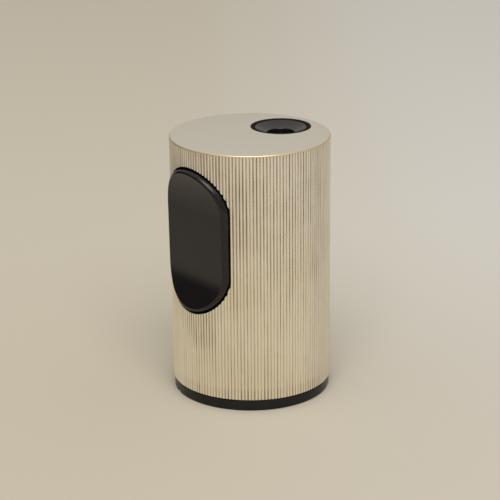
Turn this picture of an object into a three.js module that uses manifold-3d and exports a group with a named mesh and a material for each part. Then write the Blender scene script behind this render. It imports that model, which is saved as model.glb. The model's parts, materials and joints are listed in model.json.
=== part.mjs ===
// A cylindrical table lighter: a fluted metal sleeve closed at the top, a tall round-ended thumb button in its
// side, a round flame outlet in its top opposite the button, and a black base.
// Millimetres. +Z is up, the origin is the middle of the underside, the button faces -Y and the flame is at +Y.
// Pressing the button swings it about a pin near its lower end. It drives the plunger of a spark generator, and
// tips a bell crank whose fork lifts the burner and lets the gas out.

import * as THREE from 'three';
import { mergeVertices } from 'three/addons/utils/BufferGeometryUtils.js';
import Module from 'manifold-3d';

const wasm = await Module();
wasm.setup();

// ---- Driving dimensions ---------------------------------------------------------------------------------

const GAP = 0.3; // between pieces that touch on the real object

const SHELL = {
  radius: 27, height: 89, bottom: 4, wall: 1.1, top: 1.2, edge: 0.5, flutes: 150, fluteDepth: 0.35,
};
const SHELL_INNER = SHELL.radius - SHELL.wall;
const OPENING = { halfWidth: 15.15, low: 32, high: 82.7 };
const OUTLET_RADIUS = 10.3;

const BASE = { radius: 26.7, foot: 26.4, chamfer: 0.4, height: 3.6, floorLow: 1.9, floorHigh: 4.4 };
const SPIGOT = { radius: 25.3, wall: 1.5, height: 8 };
const COVER = { radius: 22.5, thickness: 1.6, screwCircle: 18.5 };

const TANK = { radius: 22.6, wall: 1.6, low: 4.9, shoulder: 29, high: 49, flat: 4 };
const LID = { low: TANK.high + GAP, high: TANK.high + GAP + 2 };

const BUTTON = { gap: 0.6, faceRadius: 27.8, tiltDeg: 1.05, wall: 1.8, round: 1.1, skirtDepth: 19 };
const PIVOT = { y: -15.5, z: 37 }; // the button's pin
const CHEEK = { inner: 15.5, outer: 17.5, front: -18 };
const BULKHEAD = { front: -4, back: -2, low: 50 };
const DECK = { low: 77.6, high: 80.4, radius: 24.6, seat: 5.6 };

const SPARK = { x: -7, z: 70, radius: 4.6, bore: 3.4, boss: 2.5, bossY: -19 }; // it lies along Y
const CRANK = { y: 2, z: 72, padY: -6.8, padZ: 55, low: 4.4, high: 7.6 }; // the gas lever
const FINGER = { x: 6, z: 55, half: 1.5, tip: -8.6 };
const BUTTON_SPRING = { x: 0, z: 62, radius: 3, wire: 0.45, seatRadius: 2, seatY: -20.2 };

const BURNER_Y = 14;
const FILLER_Y = -10;
const STEM_RADIUS = 1.2;
const SPINDLE_BORE = 1.9;
const FILLER_BORE = 3.3;
const WELL_RADIUS = 4.1;
const DISH_RIM = 8.75;

// ---- Materials ------------------------------------------------------------------------------------------

const finish = (color, roughness, metalness) =>
  new THREE.MeshStandardMaterial({ color, roughness, metalness });
const SILVER = finish(0xbfb8a6, 0.35, 1);
const BLACK_PLASTIC = finish(0x1b1a19, 0.45, 0);
const GLOSS_BLACK = finish(0x121212, 0.18, 0);
const DARK_PLASTIC = finish(0x2a2a2c, 0.6, 0);
const TANK_PLASTIC = finish(0xd8d2c0, 0.4, 0);
const BRASS = finish(0xc79a4b, 0.35, 1);
const STEEL = finish(0x9a9a9a, 0.35, 1);
const RUBBER = finish(0x161616, 0.8, 0);
const CERAMIC = finish(0xe9e4d8, 0.5, 0);
const RED_SHEATH = finish(0x7a1f1a, 0.5, 0);

// ---- Shape helpers --------------------------------------------------------------------------------------

const MERGE_MM = 1e-4;

// A closed three.js geometry as a manifold-3d solid with its faces out.
function toSolid(geometry) {
  const bare = geometry.index ? geometry.toNonIndexed() : geometry.clone();
  bare.deleteAttribute('normal');
  bare.deleteAttribute('uv');
  const merged = mergeVertices(bare, MERGE_MM);
  const index = merged.index.array;
  const kept = [];
  for (let i = 0; i < index.length; i += 3) {
    const [a, b, c] = index.subarray(i, i + 3);
    if (a !== b && b !== c && a !== c) kept.push(a, b, c);
  }
  const vertProperties = merged.attributes.position.array;
  const build = (triVerts) => new wasm.Manifold(new wasm.Mesh({ numProp: 3, vertProperties, triVerts }));
  const solid = build(new Uint32Array(kept));
  return solid.volume() > 0 ? solid : build(new Uint32Array(kept.reverse()));
}

function toGeometry(solid) {
  const { vertProperties, triVerts } = solid.getMesh();
  const geometry = new THREE.BufferGeometry();
  geometry.setAttribute('position', new THREE.BufferAttribute(vertProperties, 3));
  geometry.setIndex(new THREE.BufferAttribute(triVerts, 1));
  geometry.computeVertexNormals();
  return geometry;
}

const join = (first, ...rest) => rest.reduce((whole, piece) => whole.add(piece), first);
const cut = (first, ...rest) => rest.reduce((whole, piece) => whole.subtract(piece), first);

// A profile of [radius, height] points turned about Z.
function turned(profile, segments = 32) {
  const points = profile.map(([r, z]) => new THREE.Vector2(r, z));
  return toSolid(new THREE.LatheGeometry(points, segments).rotateX(Math.PI / 2));
}

// The same profile turned about Y.
function turnedY(profile, segments = 16) {
  const points = profile.map(([r, y]) => new THREE.Vector2(r, y));
  return toSolid(new THREE.LatheGeometry(points, segments));
}

const closed = (profile) => [...profile, profile[0]];
const rod = (r, low, high) => [[0, low], [r, low], [r, high], [0, high]];
const sleeve = (inner, outer, low, high) => closed([[inner, low], [outer, low], [outer, high], [inner, high]]);

const cylinder = (r, low, high, segments) => turned(rod(r, low, high), segments);

function cylinderX(r, y, z, x0, x1, segments = 24) {
  const geometry = new THREE.CylinderGeometry(r, r, x1 - x0, segments);
  return toSolid(geometry.rotateZ(Math.PI / 2).translate((x0 + x1) / 2, y, z));
}

function cylinderY(r, x, z, y0, y1, segments = 24) {
  const geometry = new THREE.CylinderGeometry(r, r, y1 - y0, segments);
  return toSolid(geometry.translate(x, (y0 + y1) / 2, z));
}

function block(x0, x1, y0, y1, z0, z1) {
  const geometry = new THREE.BoxGeometry(x1 - x0, y1 - y0, z1 - z0);
  return toSolid(geometry.translate((x0 + x1) / 2, (y0 + y1) / 2, (z0 + z1) / 2));
}

const extruded = (shape, depth, curveSegments) =>
  new THREE.ExtrudeGeometry(shape, { depth, bevelEnabled: false, curveSegments });

// A shape drawn in (x, y), between two heights.
const slab = (shape, z0, z1, curveSegments = 12) =>
  toSolid(extruded(shape, z1 - z0, curveSegments).translate(0, 0, z0));

// A shape drawn in (x, z), between two places along Y.
const slabY = (shape, y0, y1, curveSegments = 12) =>
  toSolid(extruded(shape, y1 - y0, curveSegments).rotateX(Math.PI / 2).translate(0, y1, 0));

// A shape drawn in (y, z), between two places along X.
function slabX(shape, x0, x1, curveSegments = 12) {
  const axes = new THREE.Matrix4().makeBasis(
    new THREE.Vector3(0, 1, 0), new THREE.Vector3(0, 0, 1), new THREE.Vector3(1, 0, 0));
  return toSolid(extruded(shape, x1 - x0, curveSegments).applyMatrix4(axes).translate(x0, 0, 0));
}

// An upright outline with half-round ends.
function stadium(halfWidth, low, high) {
  const shape = new THREE.Shape();
  shape.absarc(0, high - halfWidth, halfWidth, 0, Math.PI, false);
  shape.absarc(0, low + halfWidth, halfWidth, Math.PI, 2 * Math.PI, false);
  shape.closePath();
  return shape;
}

// The part of a circle about the origin that lies behind the line y = flat.
function segmentShape(radius, flat) {
  const start = Math.asin(flat / radius);
  const shape = new THREE.Shape();
  shape.absarc(0, 0, radius, start, Math.PI - start, false);
  shape.closePath();
  return shape;
}

// The straight-sided outline round two circles in one plane, as a shape.
function linkShape([ax, ay, ar], [bx, by, br]) {
  const along = Math.atan2(by - ay, bx - ax);
  const lean = Math.acos((ar - br) / Math.hypot(bx - ax, by - ay));
  const shape = new THREE.Shape();
  shape.absarc(ax, ay, ar, along + lean, along - lean + 2 * Math.PI, false);
  shape.absarc(bx, by, br, along - lean, along + lean, false);
  shape.closePath();
  return shape;
}

// The centreline of a coil spring about Z.
class Coil extends THREE.Curve {
  constructor(radius, length, turns) {
    super();
    Object.assign(this, { radius, length, turns });
  }
  getPoint(t, target = new THREE.Vector3()) {
    const angle = 2 * Math.PI * this.turns * t;
    return target.set(this.radius * Math.cos(angle), this.radius * Math.sin(angle), this.length * t);
  }
}

function wireAlong(curve, wireRadius, steps, sides) {
  const section = new THREE.Shape().absarc(0, 0, wireRadius, 0, 2 * Math.PI, false);
  return new THREE.ExtrudeGeometry(section, { steps, extrudePath: curve, curveSegments: sides / 2 });
}

const COIL_STEPS = 8; // in a turn
const WIRE_SIDES = 6;

const spring = (radius, wireRadius, length, turns) =>
  wireAlong(new Coil(radius, length, turns), wireRadius, Math.round(turns * COIL_STEPS), WIRE_SIDES);

// ---- The assembly's groups, and how a piece joins one ---------------------------------------------------

const lighter = new THREE.Group();

function groupAt(x, y, z) {
  const group = new THREE.Group();
  group.position.set(x, y, z);
  lighter.add(group);
  return group;
}

function add(group, name, shape, material) {
  const geometry = shape.isBufferGeometry ? shape : toGeometry(shape);
  const mesh = new THREE.Mesh(geometry, material);
  mesh.name = name;
  group.add(mesh);
  return mesh;
}

// ---- Outer shell: the fluted sleeve and its top, in one piece -------------------------------------------

const FULL = 72; // segments of a large circle

function fluteOutline() {
  const points = Array.from({ length: 2 * SHELL.flutes }, (_, i) => {
    const angle = (Math.PI * i) / SHELL.flutes;
    const radius = SHELL.radius - (i % 2) * SHELL.fluteDepth;
    return new THREE.Vector2(radius * Math.cos(angle), radius * Math.sin(angle));
  });
  return new THREE.Shape(points);
}

function outerShell() {
  const edgeLow = SHELL.height - SHELL.edge;
  const envelope = turned([
    [0, SHELL.bottom], [SHELL.radius + SHELL.fluteDepth, SHELL.bottom],
    [SHELL.radius + SHELL.fluteDepth, edgeLow],
    [SHELL.radius - SHELL.fluteDepth, SHELL.height], [0, SHELL.height],
  ], FULL);
  const fluted = slab(fluteOutline(), SHELL.bottom, SHELL.height).intersect(envelope);
  const inside = cylinder(SHELL_INNER, SHELL.bottom - 1, SHELL.height - SHELL.top, FULL);
  const opening = slabY(stadium(OPENING.halfWidth, OPENING.low, OPENING.high), -SHELL.radius - 1, -10, 14);
  const outlet = cylinder(OUTLET_RADIUS, SHELL.height - 5, SHELL.height + 1, 48).translate([0, BURNER_Y, 0]);
  return cut(fluted, inside, opening, outlet);
}

// ---- Base: the black foot, its cover and their screws ---------------------------------------------------

const DIAL_HOLE = 5.3;
const FILLER_HOLE = 4.4;
const SCREW = { shank: 0.9, head: 1.9, headLow: 0.2, headHigh: 1.1, tip: 3.9 };
const TANK_SCREW = { x: 12, y: -2, shank: 1, head: 2, headLow: 2.2, headHigh: 3.2, tip: 10 };
const NOTCH = { angleDeg: 248, width: 3, height: 1, depth: 1.2 };

const COVER_SCREW_ANGLES = [30, 150, 270];
const onCircle = (radius, degrees) => {
  const angle = THREE.MathUtils.degToRad(degrees);
  return [radius * Math.cos(angle), radius * Math.sin(angle)];
};
const coverScrewPlaces = COVER_SCREW_ANGLES.map((degrees) => onCircle(COVER.screwCircle, degrees));
const tankScrewPlaces = [[-TANK_SCREW.x, TANK_SCREW.y], [TANK_SCREW.x, TANK_SCREW.y]];
const holes = (places, radius, low, high) =>
  places.map(([x, y]) => cylinder(radius, low, high, 12).translate([x, y, 0]));

function baseHousing() {
  const spigotInner = SPIGOT.radius - SPIGOT.wall;
  const body = turned([
    [0, BASE.floorLow], [COVER.radius + GAP, BASE.floorLow], [COVER.radius + GAP, 0], [BASE.foot, 0],
    [BASE.radius - 0.1, BASE.chamfer], [BASE.radius, BASE.height], [SPIGOT.radius, BASE.height],
    [SPIGOT.radius, SPIGOT.height], [spigotInner, SPIGOT.height], [spigotInner, BASE.floorHigh],
    [0, BASE.floorHigh],
  ], FULL);
  const ribs = Array.from({ length: 4 }, (_, i) => {
    const [x, y] = onCircle(SPIGOT.radius - 0.4, 90 * i + 45);
    return cylinder(0.7, BASE.height - 0.5, SPIGOT.height - 0.5, 8).translate([x, y, 0]);
  });
  const [notchX, notchY] = onCircle(BASE.radius, NOTCH.angleDeg);
  const notch = block(-NOTCH.depth, NOTCH.depth, -NOTCH.width / 2, NOTCH.width / 2, -1, NOTCH.height)
    .rotate([0, 0, NOTCH.angleDeg]).translate([notchX, notchY, 0]);
  return cut(
    join(body, ...ribs),
    cylinder(DIAL_HOLE, 0, 3, 28).translate([0, BURNER_Y, 0]),
    cylinder(SPINDLE_BORE, 0, 9, 20).translate([0, BURNER_Y, 0]),
    cylinder(FILLER_BORE, 0, 9, 20).translate([0, FILLER_Y, 0]),
    cylinder(FILLER_HOLE, 0, 3, 24).translate([0, FILLER_Y, 0]),
    ...holes(coverScrewPlaces, SCREW.shank + 0.3, 1, SCREW.tip + 0.25),
    ...holes(tankScrewPlaces, TANK_SCREW.shank + 0.3, 1, 9),
    ...holes(tankScrewPlaces, TANK_SCREW.head + 0.35, 1, TANK_SCREW.headHigh + 0.25),
    notch,
  );
}

function bottomCover() {
  return cut(
    cylinder(COVER.radius, 0, COVER.thickness, 48),
    cylinder(DIAL_HOLE, -1, 3, 28).translate([0, BURNER_Y, 0]),
    cylinder(FILLER_HOLE, -1, 3, 24).translate([0, FILLER_Y, 0]),
    ...holes(coverScrewPlaces, SCREW.head + 0.3, -1, SCREW.headHigh + 0.15),
    ...holes(coverScrewPlaces, SCREW.shank + 0.3, -1, 3),
  );
}

// A screw with its head down and a straight slot, its shank along Z.
function screw({ shank, head, headLow, headHigh, tip }) {
  const body = turned([
    [0, headLow], [head - 0.3, headLow], [head, headLow + 0.3], [head, headHigh], [shank, headHigh],
    [shank, tip - shank], [0, tip],
  ], 12);
  return cut(body, block(-head, head, -0.25, 0.25, headLow - 1, headLow + 0.45));
}

// ---- Gas tank: a cup whose rear half stands up behind the button, and its lid ---------------------------

const SPINDLE_TUBE = { outer: 3.3, high: 47 };
const FILLER_BOSS = { radius: 5.2, high: 12 };
const TANK_BOSS = { radius: 3, high: 11.5 };
const FRAME_SCREW = { x: 9, y: -9, shank: 0.9, head: 1.9, low: 23.5 };
const frameScrewPlaces = [[-FRAME_SCREW.x, FRAME_SCREW.y], [FRAME_SCREW.x, FRAME_SCREW.y]];

function tankBody() {
  const inner = TANK.radius - TANK.wall;
  const floor = TANK.low + 2;
  const outside = join(
    cylinder(TANK.radius, TANK.low, TANK.shoulder, 40),
    slab(segmentShape(TANK.radius, TANK.flat), TANK.shoulder - 1, TANK.high, 18),
  );
  const inside = join(
    cylinder(inner, floor, TANK.shoulder - TANK.wall, 40),
    slab(segmentShape(inner, TANK.flat + TANK.wall), floor, TANK.high + 1, 18),
  );
  const bosses = [
    cylinder(SPINDLE_TUBE.outer, TANK.low, SPINDLE_TUBE.high, 20).translate([0, BURNER_Y, 0]),
    cylinder(FILLER_BOSS.radius, TANK.low, FILLER_BOSS.high, 20).translate([0, FILLER_Y, 0]),
    ...holes(tankScrewPlaces, TANK_BOSS.radius, TANK.low, TANK_BOSS.high),
    ...holes(frameScrewPlaces, TANK_BOSS.radius, FRAME_SCREW.low - 1.5, TANK.shoulder),
  ];
  return cut(
    join(cut(outside, inside), ...bosses),
    cylinder(SPINDLE_BORE, TANK.low - 1, TANK.high + 1, 20).translate([0, BURNER_Y, 0]),
    cylinder(FILLER_BORE, TANK.low - 1, FILLER_BOSS.high + 1, 20).translate([0, FILLER_Y, 0]),
    ...holes(tankScrewPlaces, TANK_SCREW.shank + 0.25, TANK.low - 1, TANK_SCREW.tip + 0.3),
    ...holes(frameScrewPlaces, FRAME_SCREW.shank + 0.25, FRAME_SCREW.low - 0.3, TANK.shoulder + 1),
  );
}

function tankLid() {
  const plate = slab(segmentShape(TANK.radius, TANK.flat), LID.low, LID.high, 18);
  return cut(plate, cylinder(4.3, LID.low - 1, LID.high + 1, 32).translate([0, BURNER_Y, 0]));
}

// ---- Chassis: foot, two cheeks, a bulkhead and the deck that carries the burner -------------------------

const FOOT = { low: TANK.shoulder + GAP, high: TANK.shoulder + 2.3, radius: 24.4, back: 3 };
const POST = { x: 15.5, radius: 2.2 };
const EAR = { low: 1.9, high: 3.3 };
const LEVER_PIN_RADIUS = 1;
const BUTTON_PIN_RADIUS = 1.25;

function chassisFrame() {
  const { inner, outer, front } = CHEEK;
  const footDisc = cylinder(FOOT.radius, FOOT.low, FOOT.high, 48);
  const foot = cut(footDisc, block(-30, 30, FOOT.back, 30, FOOT.low - 1, FOOT.high + 1));
  const cheeks = [-1, 1].map((side) => {
    const [x0, x1] = side < 0 ? [-outer, -inner] : [inner, outer];
    return join(
      block(x0, x1, front, FOOT.back, FOOT.high - 1, DECK.high),
      block(x0, x1, 0, 5, LID.high + 1, DECK.high),
    );
  });
  const bulkhead = block(-outer, outer, BULKHEAD.front, BULKHEAD.back, BULKHEAD.low, DECK.high);
  const deckDisc = cylinder(DECK.radius, DECK.low, DECK.high, 48);
  const deck = cut(deckDisc, block(-30, 30, -30, BULKHEAD.front, DECK.low - 1, DECK.high + 1));
  const posts = [-POST.x, POST.x].map((x) =>
    cylinder(POST.radius, LID.high + GAP, DECK.high, 20).translate([x, BURNER_Y, 0]));
  const ear = block(EAR.low, EAR.high, BULKHEAD.back - 0.5, CRANK.y + 2.5, CRANK.z - 2.5, DECK.low + 0.5);
  const springSeat = cylinderY(
    1.9, BUTTON_SPRING.x, BUTTON_SPRING.z, BULKHEAD.front - 2, BULKHEAD.front + 0.5,
  );
  return cut(
    join(foot, ...cheeks, bulkhead, deck, ...posts, ear, springSeat),
    cylinderX(BUTTON_PIN_RADIUS + 0.25, PIVOT.y, PIVOT.z, -30, 30),
    cylinderX(LEVER_PIN_RADIUS + 0.25, CRANK.y, CRANK.z, 0, 30),
    cylinderY(SPARK.radius + GAP, SPARK.x, SPARK.z, -10, 0, 24),
    block(CRANK.low - 0.8, CRANK.high + 0.8, -10, 0, BULKHEAD.low - 1, 74),
    cylinder(STEM_RADIUS + 0.4, DECK.low - 1, DECK.high + 1, 24).translate([0, BURNER_Y, 0]),
    cylinder(DECK.seat, DECK.low + 1.4, DECK.high + 1, 28).translate([0, BURNER_Y, 0]),
    cylinder(ELECTRODE.sleeve + GAP, DECK.low - 1, DECK.high + 1, 16).translate([ELECTRODE.x, BURNER_Y, 0]),
    ...holes(frameScrewPlaces, FRAME_SCREW.shank + GAP, FOOT.low - 1, FOOT.high + 1),
  );
}

// ---- Thumb button: a shell with a hollowed face, and lugs, a finger and a boss inside ------------------

const LUG = { inner: 9.5, outer: 12, rootY: -22, rootZ: 45, radius: 2.5, hole: BUTTON_PIN_RADIUS + 0.4 };
const ROUND_STEPS = 4;
const FACE_SEGMENTS = 80;
const FACE_STEPS = 8;

// The cylinder that the face's rim follows, leaning outwards above the pivot.
function faceCylinder(radius) {
  const geometry = new THREE.CylinderGeometry(radius, radius, 130, FACE_SEGMENTS).rotateX(Math.PI / 2);
  return toSolid(geometry.rotateX(THREE.MathUtils.degToRad(BUTTON.tiltDeg)).translate(0, 0, PIVOT.z));
}

const buttonBlank = (inset, back) => slabY(stadium(
  OPENING.halfWidth - BUTTON.gap - inset, OPENING.low + BUTTON.gap + inset, OPENING.high - BUTTON.gap - inset,
), -32, back, 12);

// All that lies behind the face. The face is straight from side to side and ends at the rim, so it dips
// between its round ends.
function behindFace(drop) {
  const half = OPENING.halfWidth - BUTTON.gap - BUTTON.round;
  const edge = BUTTON.gap + BUTTON.round + half;
  const ends = [OPENING.low + edge, OPENING.high - edge]; // the centres of the end arcs
  const sides = Math.sqrt(BUTTON.faceRadius ** 2 - half ** 2);
  const lean = Math.tan(THREE.MathUtils.degToRad(BUTTON.tiltDeg));
  const front = (z, beyond) => new THREE.Vector2(drop - Math.hypot(sides, beyond) - (z - PIVOT.z) * lean, z);
  const reach = Array.from({ length: FACE_STEPS + 1 }, (_, i) => ((half + 2 * BUTTON.round) * i) / FACE_STEPS);
  const outline = [
    ...reach.toReversed().map((t) => front(ends[0] - t, t)),
    ...reach.map((t) => front(ends[1] + t, t)),
    new THREE.Vector2(0, OPENING.high + 5),
    new THREE.Vector2(0, OPENING.low - 5),
  ];
  return slabX(new THREE.Shape(outline), -OPENING.halfWidth, OPENING.halfWidth);
}

function thumbButton() {
  const steps = Array.from({ length: ROUND_STEPS }, (_, i) => {
    const angle = (Math.PI / 2) * (i / (ROUND_STEPS - 1));
    const inset = BUTTON.round * (1 - Math.cos(angle));
    const drop = BUTTON.round * (1 - Math.sin(angle));
    return buttonBlank(inset, -BUTTON.skirtDepth).intersect(faceCylinder(BUTTON.faceRadius - drop));
  });
  const outside = join(...steps).intersect(behindFace(0));
  const hollow = buttonBlank(BUTTON.wall, -BUTTON.skirtDepth + 1).intersect(behindFace(BUTTON.wall + 0.2));
  const reach = behindFace(0.8); // the inner pieces end inside the face's wall
  const lugOutline = linkShape([LUG.rootY, LUG.rootZ, LUG.radius], [PIVOT.y, PIVOT.z, LUG.radius]);
  const lugs = [[-LUG.outer, -LUG.inner], [LUG.inner, LUG.outer]].map(([x0, x1]) =>
    slabX(lugOutline, x0, x1).intersect(reach));
  const { x, z, half, tip } = FINGER;
  const finger = block(x - half, x + half, -30, tip, z - half, z + half).intersect(reach);
  const boss = cylinderY(SPARK.boss, SPARK.x, SPARK.z, -30, SPARK.bossY).intersect(reach);
  const springSeat = cylinderY(BUTTON_SPRING.seatRadius, BUTTON_SPRING.x, BUTTON_SPRING.z, -30, BUTTON_SPRING.seatY)
    .intersect(reach);
  return cut(
    join(cut(outside, hollow), ...lugs, finger, boss, springSeat),
    cylinderX(LUG.hole, PIVOT.y, PIVOT.z, -30, 30),
  );
}

// ---- Gas lever: a bell crank with a pad for the button's finger and a fork under the burner's collar -----

const FORK = { low: 71.6, high: 73.1, slot: 1.6, outer: 3.4, tip: -2.2, root: 2.6 };

function gasLever() {
  const { y, z, padY, padZ, low, high } = CRANK;
  const arm = slabX(linkShape([y, z, 2.6], [padY, padZ, 1.5]), low, high, 8);
  const reach = block(low, high, y, BURNER_Y + FORK.outer, FORK.low - 0.8, FORK.high);
  const fork = block(FORK.tip, high, BURNER_Y - FORK.outer, BURNER_Y + FORK.outer, FORK.low, FORK.high);
  const slot = block(FORK.tip - 1, FORK.root, BURNER_Y - FORK.slot, BURNER_Y + FORK.slot, 60, 80);
  return cut(join(arm, reach, fork), slot, cylinderX(LEVER_PIN_RADIUS + GAP, y, z, -10, 30));
}

// ---- Burner: outlet ring, dish, valve, stem, nozzle and spark electrode, about the outlet's axis ---------

const VALVE = { low: 47.8, high: 62, bore: STEM_RADIUS + 0.4 };
const COLLAR = { radius: 2.2, low: 73.5, high: 74.5 };
const NOZZLE = { radius: 1.7, low: 79.5, high: 84.6 };
const ELECTRODE = { x: -3, radius: 0.25, bore: 0.45, sleeve: 0.7 };

// The dish's inside: an arc that falls from the rim and flattens towards the well.
function dishProfile() {
  const rim = new THREE.Vector2(DISH_RIM, 88.85);
  const throat = new THREE.Vector2(WELL_RADIUS, 86.55);
  const curve = new THREE.QuadraticBezierCurve(rim, new THREE.Vector2(6.6, 87.05), throat);
  const inside = curve.getPoints(4).map((p) => [p.x, p.y]);
  return closed([
    ...inside, [WELL_RADIUS, 79.6], [5.2, 79.6], [5.2, 85.4], [8, 87.3], [DISH_RIM, 88.5],
  ]);
}

const outletRing = () => turned(closed([
  [9.05, 89], [9.7, 89], [10, 88.8], [10, 87.5], [11.4, 87.5], [11.4, 86.3], [10, 86.3], [10, 83],
  [7.2, 83], [7.2, 80.7], [5.6, 80.7], [5.6, 84.2], [9.05, 84.2],
]), 40);

function valveBody() {
  const hex = cylinder(6.8, LID.high + 1.25, LID.high + 3.8, 6);
  const body = join(cylinder(3.9, VALVE.low, LID.high + 2, 24), hex, cylinder(3.6, LID.high + 2, 58, 24),
    cylinder(2.8, 57, VALVE.high, 24));
  return cut(body, cylinder(VALVE.bore, VALVE.low - 1, VALVE.high + 1, 24));
}

const burnerStem = () => turned([
  [0, 52], [STEM_RADIUS, 52], [STEM_RADIUS, COLLAR.low], [COLLAR.radius, COLLAR.low],
  [COLLAR.radius, COLLAR.high], [STEM_RADIUS, COLLAR.high], [STEM_RADIUS, 79.3], [0, 79.3],
], 20);

const burnerNozzle = () => turned([
  [0, NOZZLE.low], [NOZZLE.radius, NOZZLE.low], [NOZZLE.radius, 82], [1.35, 82.3], [1.35, 83.6],
  [1, NOZZLE.high],
  [0.4, NOZZLE.high], [0.4, 82.5], [0, 82.5],
], 20);

const SPRING_CLEAR = 0.25; // between a spring's wire and what it bears on

function burnerGroup() {
  const group = groupAt(0, BURNER_Y, 0);
  add(group, 'burner_ring', outletRing(), BLACK_PLASTIC);
  add(group, 'flame_dish', turned(dishProfile(), 40), GLOSS_BLACK);
  add(group, 'valve_body', valveBody(), BRASS);
  add(group, 'valve_seal', turned(sleeve(4.4, 6, LID.high + 0.2, LID.high + 1), 24), RUBBER);
  add(group, 'burner_stem', burnerStem(), BRASS);
  add(group, 'burner_nozzle', burnerNozzle(), BRASS);
  const wire = 0.2;
  const low = COLLAR.high + wire + SPRING_CLEAR;
  const length = DECK.low - wire - SPRING_CLEAR - low;
  add(group, 'valve_spring', spring(1.8, wire, length, 3), STEEL).position.z = low;
  const { x, radius, bore, sleeve: outer } = ELECTRODE;
  add(group, 'electrode_insulator', turned(sleeve(bore, outer, 76.4, 82.6), 16), CERAMIC).position.x = x;
  add(group, 'spark_electrode', turned(rod(radius, 75.4, 84), 12), STEEL).position.x = x;
}

// ---- Flame adjuster: a slotted dial under the base on a spindle that reaches the valve -------------------

function adjusterGroup() {
  const group = groupAt(0, BURNER_Y, 0);
  const dial = cut(
    turned([[0, 0.35], [4.4, 0.35], [4.9, 0.85], [4.9, 2.6], [0, 2.6]], 32),
    block(-3.4, 3.4, -0.5, 0.5, -1, 1.4),
    block(3.6, 6, -0.3, 0.3, -1, 0.9),
  );
  add(group, 'adjuster_dial', dial, DARK_PLASTIC);
  add(group, 'adjuster_spindle', cylinder(1.3, 2.8, 50, 20), STEEL);
}

// ---- Filler valve: body, stem, spring, seal and retainer, about its own axis -----------------------------

const FILLER = { flangeLow: 0.6, flangeHigh: 1.7, shank: 2.9, high: 14, mouth: 1.5, chamber: 2.2, seat: 5 };

function fillerGroup() {
  const { flangeLow, flangeHigh, shank, high, mouth, chamber, seat } = FILLER;
  const group = groupAt(0, FILLER_Y, 0);
  const body = turned(closed([
    [mouth + 0.5, flangeLow], [3.9, flangeLow], [3.9, flangeHigh], [shank, flangeHigh], [shank, high],
    [chamber, high], [chamber, seat], [mouth, seat - 0.6], [mouth, flangeLow + 0.5],
  ]), 20);
  add(group, 'filler_body', body, BRASS);
  add(group, 'filler_stem', turned([
    [0, 1.2], [1.1, 1.2], [1.1, 5.7], [1.8, 5.7], [1.8, 6.5], [0.7, 6.5], [0.7, 8.5], [0, 8.5],
  ], 16), BRASS);
  const wire = 0.18;
  add(group, 'filler_spring', spring(1.35, wire, 4.8, 4), STEEL).position.z = 6.5 + wire + SPRING_CLEAR;
  add(group, 'filler_retainer', turned(sleeve(0.8, 1.9, 12.2, 13.6), 20), BRASS);
  add(group, 'filler_seal', turned(sleeve(shank + 0.25, 4.1, flangeHigh + 0.2, 2.7), 24), RUBBER);
}

// ---- Spark generator: housing, nut, plunger, spring, hammer, crystal and anvil, along Y ------------------

function sparkGroup() {
  const { radius, bore } = SPARK;
  const group = groupAt(SPARK.x, 0, SPARK.z);
  const housing = turnedY(closed([
    [bore, -13], [radius, -13], [radius, -6.6], [6, -6.6], [6, BULKHEAD.front - GAP],
    [radius, BULKHEAD.front - GAP], [radius, 11], [bore, 11],
  ]), 20);
  add(group, 'spark_housing', housing, DARK_PLASTIC);
  const nut = toSolid(new THREE.CylinderGeometry(6.6, 6.6, 2.2, 6).translate(0, BULKHEAD.back + GAP + 1.1, 0));
  add(group, 'spark_nut', cut(nut, turnedY(rod(radius + GAP, -5, 5), 20)), STEEL);
  add(group, 'spark_plunger', turnedY([
    [0, -18.6], [3, -18.6], [3, -6], [2.2, -6], [2.2, -17], [0, -17],
  ]), DARK_PLASTIC);
  const wire = 0.25;
  const low = -17 + wire + SPRING_CLEAR;
  const length = -5.5 - wire - SPRING_CLEAR - low;
  const coil = spring(1.6, wire, length, 6).rotateX(-Math.PI / 2);
  add(group, 'spark_spring', coil, STEEL).position.y = low;
  add(group, 'spark_hammer', turnedY([
    [0, -5.5], [1.85, -5.5], [1.85, -1.3], [1.2, -0.5], [0, -0.5],
  ]), STEEL);
  add(group, 'spark_crystal', turnedY(rod(1.6, 2, 8)), CERAMIC);
  const anvil = turnedY([[0, 8.3], [3.1, 8.3], [3.1, 11.4], [1.2, 11.4], [1.2, 11.8], [0, 11.8]]);
  add(group, 'spark_anvil', anvil, BRASS);
}

// The sheathed lead from the anvil to the foot of the electrode.
function ignitionLead() {
  const route = [[-7, 12.4, 70], [-7.4, 13.8, 70.8], [-6.6, 14.8, 73], [-4.4, 14.4, 73.7], [-3, 14, 74.6]];
  const curve = new THREE.CatmullRomCurve3(route.map((point) => new THREE.Vector3(...point)));
  return wireAlong(curve, 0.55, 14, 8);
}

// ---- Assembly -------------------------------------------------------------------------------------------

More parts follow.
